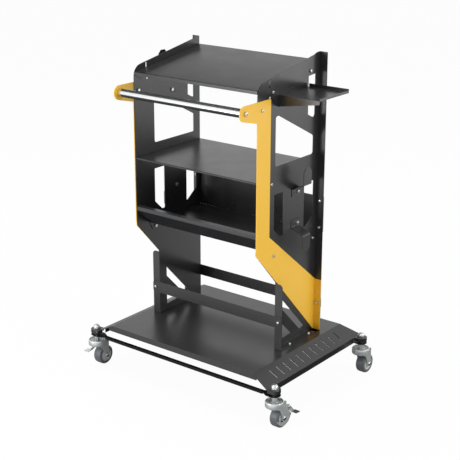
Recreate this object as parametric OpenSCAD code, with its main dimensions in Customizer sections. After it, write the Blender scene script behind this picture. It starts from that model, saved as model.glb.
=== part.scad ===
// Tool cart: two bent side plates carry three shelves over a wheeled deck.
// The origin is on the floor, under the middle of the cart's outer box. +Y points to the back.

/* [Casters] */
// Radius of a wheel
wheel_r = 34; // [30:0.5:38]
// Width of a wheel
wheel_w = 32; // [24:0.5:34]
// Distance that a wheel trails behind its stem
wheel_trail = 28; // [20:0.5:32]
// Height of the swivel cup's rim over the axle
fork_h = 66.4; // [62:0.2:75]
// Outer radius of the swivel cup
cup_r = 30; // [28:0.5:36]
// Height of the swivel cup
cup_h = 20; // [14:0.5:22]
// Radius of a caster stem
stem_r = 6; // [5:0.25:7]
// Distance of the stems outside the deck's flat part
stem_out = 80; // [66:1:90]
// Distance between the stems from front to back
stem_span_y = 509; // [490:1:530]
// Radius of the ears that hold the stems
ear_r = 20; // [17:0.5:22]

/* [Deck] */
// Width of the deck's flat part outside each side plate
deck_margin = 53; // [45:1:70]
// Depth of the deck
deck_d = 503; // [480:1:520]
// Thickness of the deck's sheet
deck_t = 2.5; // [1.5:0.1:3]
// Distance of the deck's middle ahead of the casters' middle
deck_forward = 9.5; // [0:0.5:15]
// Height that a wing falls from the deck to its ears
wing_drop = 32; // [20:1:40]
// Drop of the deck's front and rear lips
deck_lip = 20; // [10:1:24]
// Drop of a wing's outer lip
wing_lip = 20; // [10:1:22]
// Slots in each wing
slot_count = 11; // [5:1:12]
// Spacing of the slots
slot_pitch = 37.2; // [30:0.2:38]
// Width of a slot
slot_w = 3.5; // [2:0.1:8]

/* [Side plates] */
// Distance between the side plates' outer faces
cart_w = 500; // [440:1:520]
// Depth of a side plate
plate_d = 335; // [320:1:350]
// Thickness of a side plate
plate_t = 2; // [1.5:0.1:2.5]
// Height of the side plates' rear corners over the top shelf's rear edge
rear_over = 27.5; // [20:0.5:60]
// Height of the side plates' front corners over the top shelf's front edge
front_over = 16; // [12:0.5:30]
// Radius of the side plate's front top corner
nose_corner_r = 38; // [20:1:45]
// Distance of the side plates' middle ahead of the casters' middle
plates_forward = 11; // [0:0.5:15]
// Distance of the lower post ahead of the side plate's middle
post_ahead = 60; // [50:1:70]
// Height over the deck where the slanted front edge meets the post
post_top = 236; // [232:1:250]
// Height over the deck where the slanted front edge begins
slant_top = 355; // [340:1:365]
// Width of the flanges that turn outward
flange_w = 27; // [24:1:32]

/* [Shelves] */
// Thickness of the shelves' sheet
shelf_t = 2; // [1.2:0.1:2.5]
// Height of the top shelf's front edge over the deck
top_shelf_h = 877; // [865:1:880]
// Rise of the top shelf from front to rear
top_rise = 48; // [30:1:52]
// Drop of the top shelf's front lip
top_lip = 10.5; // [5:0.5:16]
// Height of the middle shelf over the deck
mid_shelf_h = 592; // [575:1:605]
// Drop of the middle shelf's front lip
mid_lip = 5; // [4:0.5:10]
// Height of the lower bin's floor over the deck
bin_floor_h = 353; // [345:1:360]
// Height of the lower bin's front edge over its floor
bin_front_h = 69; // [50:1:80]
// Depth of the shelves' side flanges
side_flange = 32; // [30:1:36]

/* [Back and rails] */
// Height of the back panel
back_h = 121; // [110:1:140]
// Thickness of the back panel and the rails
rail_t = 2; // [1.5:0.1:3]
// Height of the front rail's strip
front_rail_h = 40; // [34:1:46]
// Height of the front rail's middle over the deck
front_rail_z = 99; // [80:1:150]
// Height of the back rail's strip
back_rail_h = 40; // [34:1:46]
// Height of the back rail's middle over the deck
back_rail_z = 98; // [80:1:140]

/* [Handle] */
// Radius of the handle tube
handle_r = 14; // [11:0.5:15]
// Wall of the handle tube
handle_wall = 1.5; // [1:0.1:2.5]
// Height of the handle over the deck
handle_h = 820; // [800:1:830]
// Distance of the handle ahead of the side plates' front edge
handle_ahead = 64; // [50:0.5:80]

/* [Yellow panels] */
// Width of the panels' upright strip
strip_w = 69; // [64:1:76]
// Height of the slanted foot over the deck, at its lower front
foot_front_h = 354; // [345:1:362]
// Height over the deck where the foot's upper edge leaves the upright strip
foot_top_h = 400; // [385:1:410]
// Height of the foot's rear edge over the deck
foot_rear_h = 182; // [150:1:200]
// Radius of the round nose round the handle
nose_r = 24; // [22:0.5:27]

/* [Side tray] */
// Reach of the tray from the side plate
tray_w = 152; // [120:1:170]
// Depth of the tray's floor
tray_d = 162; // [140:1:170]
// Depth of the tray's floor below the top shelf's front edge
tray_below = 27; // [25:1:42]
// Thickness of the tray's sheet
tray_t = 2; // [1.5:0.1:2.5]

/* [Hooks] */
// Width of the right hooks
hook_w = 43; // [34:1:50]
// Gap between a right hook's lip and the side plate
hook_gap = 43; // [36:1:50]
// Height of a right hook's lip
hook_lip_h = 55; // [40:1:60]
// Height of the left upper hook's lip
tall_lip_h = 96; // [80:1:110]
// Distance of the lower right hook below the upper one
hook_between = 131.5; // [100:0.5:140]
// Thickness of the hooks' sheet
hook_t = 2; // [1.5:0.1:3]

/* [Screws] */
// Radius of the frame bolts' shanks
bolt_r = 3; // [2.5:0.1:3.5]
// Radius of the frame bolts' button heads
bolt_head_r = 5.5; // [4.5:0.1:6]
// Height of the frame bolts' button heads
bolt_head_h = 5; // [2:0.1:6]
// Radius of the handle bolts' shanks
handle_bolt_r = 4; // [3:0.1:5]

/* [Hidden] */

black = "#3b3b3d";
dark = "#232325";
yellow = "#e3b22f";
chrome = "#d8dadc";
zinc = "#b4b9bc";
rubber = "#7c7e82";
hub_grey = "#a0a09c";

$fn = 48;
// One overrun serves every cut
over = 1;
// Radial play of a bolt in its hole, and of a thread drawn plain
bolt_play = 0.25;
thread_play = 0.05;
// Radial clearance of a running fit, and the gap between pieces that pass each other
run_fit = 0.05;
pass_gap = 0.3;
// Facets of a rounded corner of an outline
corner_steps = 6;

// Casters, from the floor up
disc_sink = 1;
cup_floor_t = 3;
cup_rim_t = 3.5;
disc_t = 3.5;
fork_t = 2.5;
wheel_side_gap = 1.75;
ear_clear = 18.1;
bar_flat_t = 3;
bar_h = 10;
bar_d = 12;
bar_wall = 1.5;
bar_taper = 24;
spacer_h = 16;
rivet_r = 10;
rivet_h = 3;
dome_flat = 24;
dome_hex_h = 8;
dome_h = 17;
ear_rim_h = 11;
lock_nut_flat = 15;
spacer_wall = 2;
leg_end_r = 9.5;
// Where a leg meets the cup's wall, as a share of the cup's radius
leg_step_share = 0.67;
leg_top_drop = 6;
leg_top_cut = 4;
// Arch from a leg to the front of the cup: shares of the cup's radius ahead of the leg, and
// of the height from the axle to the cup
web_shares = [[0, 0.13], [0.1, 0.19], [0.2, 0.39], [0.38, 0.67], [0.78, 0.84], [1.2, 1]];
// Guard on the right brake's leg, from the lug to its front tip: shares of the wheel's radius
// from the axle
guard_shares = [[0.81, 0.77], [0.79, 0.44], [1.12, 0.06], [0.65, -0.57], [0.24, -0.74],
    [-0.26, -0.75], [-0.71, -0.52], [-1.09, -0.12], [-1.20, 0.13], [-0.86, -0.09],
    [-0.41, -0.29], [0, -0.30]];
axle_r = 4;
axle_head_r = 7;
axle_head_h = 4;
// Shares of a head's radius that are left at its top
axle_top_share = 0.75;
head_top_share = 0.9;
axle_tip = 1.5;
axle_nut_h = 5;
axle_nut_flat = 12;
rubber_t = 11;
hub_r = wheel_r - rubber_t;
hub_dish = 2;
hub_boss_r = 9;
tread_round = 5;

rim_z = wheel_r + fork_h;
cup_z = rim_z - cup_h;
disc_z = rim_z - disc_sink - disc_t;
cup_under = disc_z - pass_gap - cup_floor_t;
low_ear_z = rim_z + ear_clear;
ear_z = low_ear_z + bar_flat_t + spacer_h + deck_t;
deck_z = ear_z + wing_drop;
fork_in = wheel_w / 2 + wheel_side_gap;
fork_out = fork_in + fork_t;
deck_w = cart_w + 2 * deck_margin;
stem_x = deck_w / 2 + stem_out;
stem_y = stem_span_y / 2;
CORNERS = [for (x = [-1, 1], y = [-1, 1]) [x, y]];
FL = CORNERS[0];
RL = CORNERS[1];
FR = CORNERS[2];
RR = CORNERS[3];

// Where the casters' middle lies ahead of the outer box's middle
stems_forward = (wheel_trail + wheel_r - cup_r) / 2;

// Side pedals: places in depth and height, from the stem for a pivot, else from the pivot
pedal_t = 2.5;
pedal_pin_r = 2.5;
pin_head_r = 4.5;
pin_head_h = 1.5;
eye_r = 5.5;
shoe_r = 2;
shoe_pad_r = 4;
tread_w = 20;
tread_l = 21;
left_pivot_up = 38;
left_tread = [34, 18.5];
left_shoe = [19, 4];
right_pivot_back = 22;
right_pivot_up = 32;
right_tread = [13.5, 24];
right_shoe = [12, 10];
left_pivot = [wheel_trail, wheel_r + left_pivot_up];
right_pivot = [wheel_trail + right_pivot_back, wheel_r + right_pivot_up];

// Frame, with heights over the deck
half_w = cart_w / 2;
half_in = half_w - plate_t;
half_d = plate_d / 2;
wing_neck = 15;
// Run of the deck's front and rear lips past the wings' folds, at their lower and upper edge
lip_run = 13;
lip_run_top = 17;
wing_run = stem_out - wing_neck;
lip_end_gap = 6;
slot_in = 15;
slot_out = 15;
plate_h = top_shelf_h + top_rise + rear_over;
front_h = top_shelf_h + front_over;
plate_lean = (plate_h - front_h) / plate_d;
window_r = 8;
small_window_r = 3;
post_corner_r = 12;
bump_shares = [[0.40, 0.000], [0.44, 0.003], [0.49, 0.001]];

// Shares of the plate's depth from its middle, and of a bay's height from its floor
window_shares = [[-0.215, 0.112], [0.406, 0.112], [0.406, 0.337], [0.391, 0.337],
    [-0.167, 0.672], [-0.215, 0.672]];
rear_slot_shares = [[0.307, 0.586], [0.364, 0.553], [0.403, 0.539], [0.421, 0.560],
    [0.421, 1.030], [0.307, 1.020]];
front_slot_shares = [[-0.224, 0.271], [-0.116, 0.129], [-0.075, 0.129], [-0.075, 0.755],
    [-0.224, 0.755]];
rear_low_slot_shares = [[0.272, 0.127], [0.293, 0.127], [0.430, 0.268], [0.430, 0.755],
    [0.272, 0.755]];
brace_shares = [[-0.066, 0.370], [0.245, 0.071], [0.319, 0.085], [-0.066, 0.466]];
brace_low_shares = [[-0.066, 0.071], [0.093, 0.080], [-0.066, 0.227]];
tall_slit_share = -0.320;
pin_hole_share = -0.309;
top_bolt_shares = [-0.281, 0.333];
top_bolt_drops = [24.5, 19];
mid_bolt_shares = [-0.279, 0.355];
mid_bolt_drop = 20;
bin_bolt_shares = [-0.230, 0.437];
bin_bolt_drop = 21;
slit_w = 5.5;
slit_l = 24;
slit_drop = 3;
pin_hole_r = 3.5;
pin_hole_drop = 57;

top_lean = top_rise / plate_d;
bin_lip_d = 20;
bin_band_h = 13;
bin_slant_d = 61;
bin_front_z = bin_floor_h + bin_front_h;

ear_bolt_back = 20;
ear_bolt_down = 5;
nose_ahead = 4;
ear_drop = 41;
ear_step = 2.5;
panel_corner = 20;
panel_top_r = 5;
foot_tip = 4.5;
insert_l = 30;
handle_head_r = 7;
handle_head_h = 7;

tray_h = top_shelf_h - tray_below;
tray_flange_back = 88;
tray_tab_over = 7;
tray_front = 62;
tray_lip = 6;
tray_back_lip = 11;
gusset_root = 37;
gusset_tip = 12;
tray_slit_d = 3;

hook_plate_h = 26;
hook_y = 20;
hook_screw_share = 0.75;
hook_slit_share = 0.25;
hook_arm_rise = 19;
lip_cut = 12;
hook_slit_l = 8;
hook_slit_w = 2;
long_slit_l = 32;
long_slit_down = 9;
upper_hook_share = 0.740;
left_hook_share = 0.740;
left_low_hook_share = 0.365;
left_hook_y = 9;
left_low_hook_y = 26;

back_screw_ups = [14, 105];
flange_screw_in = 13;
foot_screw_shares = [0.003, 0.334];
foot_screw_out = 16.5;
rail_end_r = 8;
foot_flange_back = 140;

function polar(c, r, a) = [c[0] + r * cos(a), c[1] + r * sin(a)];

// Points of a tangent arc of radius r at corner b, on the way from a to c
function corner(a, b, c, r) =
    let (u = (a - b) / norm(a - b),
         v = (c - b) / norm(c - b),
         half = acos(u * v) / 2,
         m = (u + v) / norm(u + v),
         o = b + m * r / sin(half),
         p = b + u * r / tan(half),
         q = b + v * r / tan(half))
    [for (i = [0 : corner_steps])
        let (d = (p - o) * (corner_steps - i) + (q - o) * i)
        o + d / norm(d) * r];

function rounded(pts, r) =
    [for (i = [0 : len(pts) - 1])
        each corner(pts[(i + len(pts) - 1) % len(pts)], pts[i], pts[(i + 1) % len(pts)], r)];

// Bay points: depth from the plate's middle, height from the bay's floor
function bay(shares, low, high) = [for (s = shares) [s[0] * plate_d, low + s[1] * (high - low)]];

// Height of the plate's sloping top edge and of the top shelf, over the deck
function edge_h(y) = plate_h - (half_d - y) * plate_lean;
function top_h(y) = top_shelf_h + (y + half_d) * top_lean;

// Screw places on each side plate: depth, height
function top_bolts() = [for (i = [0 : 1])
    let (y = top_bolt_shares[i] * plate_d) [y, top_h(y) - top_bolt_drops[i]]];
function mid_bolts() = [for (s = mid_bolt_shares) [s * plate_d, mid_shelf_h - mid_bolt_drop]];
function bin_bolts() = [for (s = bin_bolt_shares) [s * plate_d, bin_floor_h - bin_bolt_drop]];
handle_y = -half_d - handle_ahead;
ear_bolt = [-half_d + ear_bolt_back, handle_h - ear_bolt_down];
strip_in = -half_d + strip_w - ear_step;

// Plate and shelf modules are drawn over the deck, around the plates' middle
module on_deck() translate([0, -stems_forward - plates_forward, deck_z]) children();

// Draws an outline of depth and height as a sheet whose outer face is at x, on one side
module side_sheet(side, x, t) {
    if (side > 0)
        translate([x - t, 0, 0]) rotate([90, 0, 90]) linear_extrude(t) children();
    else
        translate([-x, 0, 0]) rotate([90, 0, 90]) linear_extrude(t) children();
}

module holes(places, r) for (p = places) translate(p) circle(r);

// A bolt along X whose head sits on the outer face at x
module side_bolt(side, place, x, r, l, head_r, head_h) {
    translate([side * x, place[0], place[1]]) rotate([0, side * 90, 0]) {
        translate([0, 0, -l]) cylinder(r = r, h = l);
        cylinder(r1 = head_r, r2 = head_r * head_top_share, h = head_h);
    }
}

module hexagon(flat, h) cylinder(r = flat / 2 / cos(30), h = h, $fn = 6);

module plate_outline() {
    difference() {
        polygon(concat(
            [[half_d, 0], [half_d, plate_h]],
            [for (i = [len(bump_shares) - 1 : -1 : 0])
                [bump_shares[i][0] * plate_d,
                 edge_h(bump_shares[i][0] * plate_d) + bump_shares[i][1] * plate_h]],
            corner([half_d, plate_h], [-half_d, front_h], [-half_d, slant_top], nose_corner_r),
            [[-half_d, slant_top], [-post_ahead, post_top], [-post_ahead, 0]]));
        polygon(rounded(bay(window_shares, mid_shelf_h, top_shelf_h), window_r));
        polygon(bay(rear_slot_shares, mid_shelf_h, top_shelf_h));
        polygon(rounded(bay(front_slot_shares, bin_floor_h, mid_shelf_h), small_window_r));
        polygon(rounded(bay(rear_low_slot_shares, bin_floor_h, mid_shelf_h), small_window_r));
        polygon(bay(brace_shares, 0, bin_floor_h));
        polygon(bay(brace_low_shares, 0, bin_floor_h));
        translate([tall_slit_share * plate_d - slit_w / 2,
            edge_h(tall_slit_share * plate_d) - slit_drop - slit_l]) square([slit_w, slit_l]);
        translate([pin_hole_share * plate_d, edge_h(pin_hole_share * plate_d) - pin_hole_drop])
            circle(pin_hole_r);
        holes(concat(top_bolts(), mid_bolts(), bin_bolts(), [ear_bolt]), bolt_r + bolt_play);
    }
}

module side_plate(side) {
    flange_x = side > 0 ? half_w - plate_t : -half_w - flange_w;
    on_deck() difference() {
        union() {
            side_sheet(side, half_w, plate_t) plate_outline();
            // Rear flange
            translate([flange_x, half_d - plate_t, 0]) cube([flange_w + plate_t, plate_t, plate_h]);
            // Post flange with a round outer corner
            translate([0, -post_ahead + plate_t, 0]) rotate([90, 0, 0]) linear_extrude(plate_t)
                post_flange_outline(side);
            // Foot flange on the deck
            translate([flange_x, -post_ahead, 0])
                cube([flange_w + plate_t, post_ahead + foot_flange_back, plate_t]);
        }
        hook_holes(side);
        if (side < 0) long_slit();
        back_screw_holes(side);
        rail_screw_holes(side);
        foot_screw_holes(side);
    }
}

module post_flange_outline(side) {
    top = post_top - plate_t - small_window_r;
    mirror([side > 0 ? 0 : 1, 0]) polygon(concat(
        [[half_w - plate_t, 0], [half_w + flange_w, 0]],
        corner([half_w + flange_w, 0], [half_w + flange_w, top], [half_w, top], post_corner_r),
        [[half_w - plate_t, top]]));
}

module side_plate_left() color(black) side_plate(-1);
module side_plate_right() color(black) side_plate(1);

// Yellow panel, flat on the plate's outer face
module yellow_outline() {
    nose_c = [handle_y - nose_ahead, handle_h];
    nose_top = nose_c[1] + nose_r;
    rear = half_d - plate_t;
    difference() {
        polygon(concat(
            corner([strip_in, foot_top_h], [strip_in, nose_top], [nose_c[0], nose_top], panel_top_r),
            [for (a = [90 : 15 : 255]) polar(nose_c, nose_r, a)],
            [[-half_d - ear_step, handle_h - ear_drop],
             [-half_d - ear_step, foot_front_h + panel_corner],
             [-half_d, foot_front_h],
             [rear - foot_tip, 0], [rear, 0], [rear, foot_rear_h],
             [strip_in, foot_top_h]]));
        holes([ear_bolt, bin_bolts()[0]], bolt_r + bolt_play);
        translate([handle_y, handle_h]) circle(handle_bolt_r + bolt_play);
    }
}

module yellow_panel(side) {
    flange_x = side > 0 ? half_w : -half_w - flange_w;
    on_deck() difference() {
        union() {
            side_sheet(side, half_w + plate_t, plate_t) yellow_outline();
            translate([flange_x, half_d - 2 * plate_t, 0]) cube([flange_w, plate_t, foot_rear_h]);
        }
        rail_screw_holes(side);
    }
}

module yellow_panel_left() color(yellow) yellow_panel(-1);
module yellow_panel_right() color(yellow) yellow_panel(1);

// Handle between the panels' noses
module at_handle() on_deck() translate([0, handle_y, handle_h]) children();

module handle_bar() color(chrome) at_handle() rotate([0, 90, 0]) difference() {
    cylinder(r = handle_r, h = cart_w, center = true);
    cylinder(r = handle_r - handle_wall, h = cart_w + over, center = true);
}

module handle_inserts() color(dark) at_handle() for (side = [-1, 1])
    rotate([0, side * 90, 0]) translate([0, 0, half_w - insert_l]) difference() {
        cylinder(r = handle_r - handle_wall - thread_play, h = insert_l);
        translate([0, 0, -over]) cylinder(r = handle_bolt_r + thread_play, h = insert_l + 2 * over);
    }

module handle_bolts() color(zinc) on_deck() for (side = [-1, 1])
    side_bolt(side, [handle_y, handle_h], half_w + plate_t, handle_bolt_r, insert_l,
        handle_head_r, handle_head_h);

// Side flange of a shelf, with its bolt holes
module shelf_side(side, places) side_sheet(side, half_in, shelf_t) difference() {
    children();
    holes(places, bolt_r + bolt_play);
}

module top_shelf() color(black) on_deck() {
    rotate([90, 0, 90]) translate([0, 0, -half_in]) linear_extrude(2 * half_in)
        polygon([[-half_d, top_shelf_h], [half_d, top_h(half_d)], [half_d, top_h(half_d) - shelf_t],
            [-half_d + shelf_t, top_shelf_h - shelf_t + shelf_t * top_lean],
            [-half_d + shelf_t, top_shelf_h - top_lip], [-half_d, top_shelf_h - top_lip]]);
    for (side = [-1, 1]) shelf_side(side, top_bolts())
        polygon([[-half_d + shelf_t, top_h(shelf_t - half_d) - shelf_t],
            [half_d, top_h(half_d) - shelf_t], [half_d, top_h(half_d) - side_flange],
            [-half_d + side_flange, top_h(side_flange - half_d) - side_flange],
            [-half_d + shelf_t, top_h(shelf_t - half_d) - top_lip]]);
}

module middle_shelf() color(black) on_deck() {
    translate([-half_in, -half_d, mid_shelf_h - shelf_t]) cube([2 * half_in, plate_d, shelf_t]);
    translate([-half_in, -half_d, mid_shelf_h - mid_lip]) cube([2 * half_in, shelf_t, mid_lip]);
    for (side = [-1, 1]) shelf_side(side, mid_bolts())
        polygon([[-half_d + shelf_t, mid_shelf_h - shelf_t], [half_d, mid_shelf_h - shelf_t],
            [half_d, mid_shelf_h - side_flange], [-half_d + side_flange, mid_shelf_h - side_flange],
            [-half_d + shelf_t, mid_shelf_h - mid_lip]]);
}

// The bin is one bent sheet: return, band, slanted front and floor
module bin_profile() {
    slant = [bin_slant_d, bin_band_h - bin_front_h];
    n = [slant[1], -slant[0]] / norm(slant) * shelf_t;
    drop = bin_slant_d - shelf_t * (bin_slant_d - norm(slant)) / (bin_front_h - bin_band_h);
    polygon([[-half_d + bin_lip_d, bin_front_z], [-half_d, bin_front_z],
        [-half_d, bin_front_z - bin_band_h], [-half_d + bin_slant_d, bin_floor_h - shelf_t],
        [half_d, bin_floor_h - shelf_t], [half_d, bin_floor_h],
        [-half_d + drop + shelf_t, bin_floor_h],
        [-half_d + shelf_t, bin_front_z - bin_band_h - n[1] / 2],
        [-half_d + shelf_t, bin_front_z - shelf_t], [-half_d + bin_lip_d, bin_front_z - shelf_t]]);
}

module bin_shelf() color(black) on_deck() {
    rotate([90, 0, 90]) translate([0, 0, -half_in]) linear_extrude(2 * half_in) bin_profile();
    for (side = [-1, 1]) shelf_side(side, bin_bolts())
        polygon([[-half_d + bin_slant_d, bin_floor_h - shelf_t], [half_d, bin_floor_h - shelf_t],
            [half_d, bin_floor_h - side_flange],
            [-half_d + bin_slant_d + side_flange / 2, bin_floor_h - side_flange]]);
}

module back_panel() color(black) on_deck() difference() {
    translate([-half_w - flange_w, half_d, bin_floor_h])
        cube([cart_w + 2 * flange_w, rail_t, back_h]);
    for (side = [-1, 1]) back_screw_holes(side);
}

// Screws through the rear flanges: back panel, then yellow foot and back rail
screw_x = half_w + flange_w - flange_screw_in;

module flange_holes(side, y, z) translate([side * screw_x, y, z]) rotate([-90, 0, 0])
    translate([0, 0, -over]) cylinder(r = bolt_r + bolt_play, h = 4 * plate_t + 2 * over);

module back_screw_holes(side) for (up = back_screw_ups)
    flange_holes(side, half_d - plate_t, bin_floor_h + up);

module rail_screw_holes(side) {
    flange_holes(side, half_d - 2 * plate_t, back_rail_z);
    flange_holes(side, -post_ahead - rail_t, front_rail_z);
}

// A screw along Y whose head sits in front of y
module rear_screw(side, y, z, l) translate([side * screw_x, y, z]) rotate([-90, 0, 0]) {
    cylinder(r = bolt_r, h = l);
    translate([0, 0, -bolt_head_h]) cylinder(r1 = bolt_head_r * head_top_share, r2 = bolt_head_r,
        h = bolt_head_h);
}

module back_panel_screws() color(zinc) on_deck() for (side = [-1, 1], up = back_screw_ups)
    rear_screw(side, half_d - plate_t, bin_floor_h + up, plate_t + rail_t + bolt_r);

module rail_screws() color(zinc) on_deck() for (side = [-1, 1]) {
    rear_screw(side, half_d - 2 * plate_t, back_rail_z, 2 * plate_t + rail_t + bolt_r);
    rear_screw(side, -post_ahead - rail_t, front_rail_z, plate_t + rail_t + bolt_r);
}

// A strip across the cart with rounded ends, its front face at y
module rail(y, z, h) on_deck() difference() {
    translate([0, y + rail_t, z]) rotate([90, 0, 0]) linear_extrude(rail_t)
        polygon(rounded([[-half_w - flange_w, -h / 2], [half_w + flange_w, -h / 2],
            [half_w + flange_w, h / 2], [-half_w - flange_w, h / 2]], rail_end_r));
    for (side = [-1, 1]) rail_screw_holes(side);
}

module front_rail() color(black) rail(-post_ahead - rail_t, front_rail_z, front_rail_h);
module back_rail() color(dark) rail(half_d, back_rail_z, back_rail_h);

// Tray on the right plate
module side_tray() color(black) on_deck() {
    x0 = half_w + tray_t;
    tab_y = top_bolts()[0][0];
    tab_top = top_bolts()[0][1] + tray_tab_over;
    back_y = tray_d - tray_front;
    difference() {
        union() {
            side_sheet(1, half_w + tray_t, tray_t) polygon([
                [tab_y - bolt_head_r, tab_top], [tab_y - bolt_head_r, tray_h - tray_t],
                [-tray_front, tray_h - gusset_root], [tray_flange_back, tray_h - gusset_root],
                [tray_flange_back, tray_h + tray_back_lip],
                [-tray_front, tray_h + tray_back_lip],
                [tab_y + bolt_head_r, tab_top]]);
            translate([half_w, -tray_front, tray_h - tray_t]) cube([tray_w, tray_d, tray_t]);
            translate([half_w + tray_w - tray_t, -tray_front, tray_h - tray_t])
                cube([tray_t, tray_d, tray_lip + tray_t]);
            translate([x0 + tray_slit_d, back_y - tray_t, tray_h - tray_t])
                cube([tray_w - tray_t - tray_slit_d, tray_t, tray_back_lip + tray_t]);
            translate([0, tray_t - tray_front, tray_h - tray_t]) rotate([90, 0, 0])
                linear_extrude(tray_t) polygon([[half_w, 0], [half_w + tray_w, 0],
                    [half_w + tray_w - tray_t, -gusset_tip + tray_t],
                    [half_w + tray_w - gusset_tip, -gusset_tip],
                    [half_w, tray_t - gusset_root]]);
        }
        translate([half_w - over, 0, 0]) rotate([90, 0, 90]) linear_extrude(tray_t + 2 * over)
            holes([top_bolts()[0]], bolt_r + bolt_play);
    }
}

// Hooks: a screwed plate, a sloping arm and a lip. up is 1 for a lip that rises, -1 for one that hangs
function hook_low(share, low, high) = low + share * (high - low);
upper_hook_z = hook_low(upper_hook_share, bin_floor_h, mid_shelf_h);
hook_base = [
    [hook_y, upper_hook_z],
    [hook_y, upper_hook_z - hook_between],
    [left_hook_y, hook_low(left_hook_share, mid_shelf_h, top_shelf_h)],
    [left_low_hook_y, hook_low(left_low_hook_share, bin_floor_h, mid_shelf_h)]
];

function hook_side(i) = i < 2 ? 1 : -1;
function hook_up(i) = i % 2 == 0 ? 1 : -1;
// The left hooks are the right ones turned round, so a share counts from their rear edge
function hook_share(i, share) = i < 2 ? share : 1 - share;
function hook_hole(i) = [hook_base[i][0] + hook_w * hook_share(i, hook_screw_share),
    hook_base[i][1] - hook_up(i) * hook_plate_h / 2];

module hook_holes(side) for (i = [0 : 3]) if (hook_side(i) == side)
    translate([side > 0 ? half_w - plate_t - over : -half_w - over, 0, 0])
        rotate([90, 0, 90]) linear_extrude(plate_t + 2 * over) holes([hook_hole(i)], bolt_r + bolt_play);

// Long slit in the left plate, under the screw of the upper hook
module long_slit() translate([-half_w - over, left_hook_y + over, hook_hole(2)[1] - long_slit_down])
    cube([plate_t + 2 * over, long_slit_l, hook_slit_w]);

// i picks the hook, lip_h and tip are the lip's height and its tip's corner cut
module hook(i, lip_h, tip) {
    side = hook_side(i);
    y = hook_base[i][0];
    z = hook_base[i][1];
    up = hook_up(i);
    arm_end = half_w + hook_t + hook_gap;
    on_deck() translate([0, y, z]) mirror([side > 0 ? 0 : 1, 0, 0]) mirror([0, 0, up > 0 ? 0 : 1]) {
        difference() {
            translate([half_w, 0, -hook_plate_h]) cube([hook_t, hook_w, hook_plate_h]);
            translate([half_w - over, hook_w * hook_share(i, hook_screw_share), -hook_plate_h / 2])
                rotate([0, 90, 0]) cylinder(r = bolt_r + bolt_play, h = hook_t + 2 * over);
            translate([half_w - over, hook_w * hook_share(i, hook_slit_share) - hook_slit_w / 2,
                -(hook_plate_h + hook_slit_l) / 2])
                cube([hook_t + 2 * over, hook_slit_w, hook_slit_l]);
        }
        rotate([90, 0, 0]) translate([0, 0, -hook_w]) linear_extrude(hook_w)
            polygon([[half_w, -hook_t], [half_w + hook_t, -hook_t], [arm_end, hook_arm_rise - hook_t],
                [arm_end + hook_t, hook_arm_rise], [arm_end, hook_arm_rise], [half_w, 0]]);
        translate([arm_end, 0, hook_arm_rise]) rotate([90, 0, 90]) linear_extrude(hook_t)
            polygon([[0, 0], [hook_w, 0], [hook_w, lip_h - tip], [hook_w - tip, lip_h],
                [tip, lip_h], [0, lip_h - tip]]);
    }
}

module upper_right_hook() color(black) hook(0, hook_lip_h, lip_cut);
module lower_right_hook() color(black) hook(1, hook_lip_h, lip_cut);
module upper_left_hook() color(black) hook(2, tall_lip_h, lip_cut);
module lower_left_hook() color(black) hook(3, hook_lip_h, lip_cut);

module hook_screws() color(zinc) on_deck() for (i = [0 : 3])
    side_bolt(hook_side(i), hook_hole(i), half_w + hook_t, bolt_r,
        hook_t + plate_t + plate_nut_h + thread_play, bolt_head_r, bolt_head_h);

// Bolts through the plates into the shelves' flanges
function bolt_face(side, k) =
    k == 0 && side > 0 ? half_w + tray_t : k == 4 ? half_w + plate_t : half_w;
function shelf_places() = concat(top_bolts(), mid_bolts(), bin_bolts());
plate_nut_flat = 10;
plate_nut_h = 4;

module shelf_bolts() color(zinc) on_deck() for (side = [-1, 1], k = [0 : 5]) {
    face = bolt_face(side, k);
    side_bolt(side, shelf_places()[k], face, bolt_r,
        face - half_in + shelf_t + plate_nut_h + thread_play, bolt_head_r, bolt_head_h);
}

// Nuts inside: on the shelves' flanges, behind the hooks and behind the panels' upper bolts
module plate_nut(side, place, face) translate([side * face, place[0], place[1]])
    rotate([0, -side * 90, 0]) difference() {
        hexagon(plate_nut_flat, plate_nut_h);
        translate([0, 0, -over]) cylinder(r = bolt_r + thread_play, h = plate_nut_h + 2 * over);
    }

module plate_nuts() color(zinc) on_deck() {
    for (side = [-1, 1], p = shelf_places()) plate_nut(side, p, half_in - shelf_t);
    for (i = [0 : 3]) plate_nut(hook_side(i), hook_hole(i), half_in);
    for (side = [-1, 1]) plate_nut(side, ear_bolt, half_in);
}

module panel_bolts() color(zinc) on_deck() for (side = [-1, 1])
    side_bolt(side, ear_bolt, half_w + plate_t, bolt_r, 2 * plate_t + plate_nut_h + thread_play,
        bolt_head_r, bolt_head_h);

// Deck: a flat sheet, sloping wings and level ears round the stems
module at_corner(c) translate([c[0] * stem_x, c[1] * stem_y - stems_forward, 0]) children();

deck_y = [-deck_forward - deck_d / 2, -deck_forward + deck_d / 2];

// A wing is the slope's profile cut to the wing's plan
module wing(side) {
    outer = deck_w / 2 + wing_run;
    mirror([side > 0 ? 0 : 1, 0, 0]) difference() {
        intersection() {
            rotate([90, 0, 0]) translate([0, 0, -stem_span_y]) linear_extrude(2 * stem_span_y)
                polygon([[deck_w / 2, deck_z], [outer, ear_z], [outer, ear_z - deck_t],
                    [deck_w / 2, deck_z - deck_t]]);
            linear_extrude(2 * deck_z) polygon([[deck_w / 2, deck_y[0]], [outer, -stem_y - ear_r],
                [outer, stem_y + ear_r], [deck_w / 2, deck_y[1]]]);
        }
        slots();
    }
    // Outer lip between the ears
    mirror([side > 0 ? 0 : 1, 0, 0])
        translate([outer - deck_t, ear_r + lip_end_gap - stem_y, ear_z - wing_lip])
        cube([deck_t, 2 * (stem_y - ear_r - lip_end_gap), wing_lip]);
}

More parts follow.
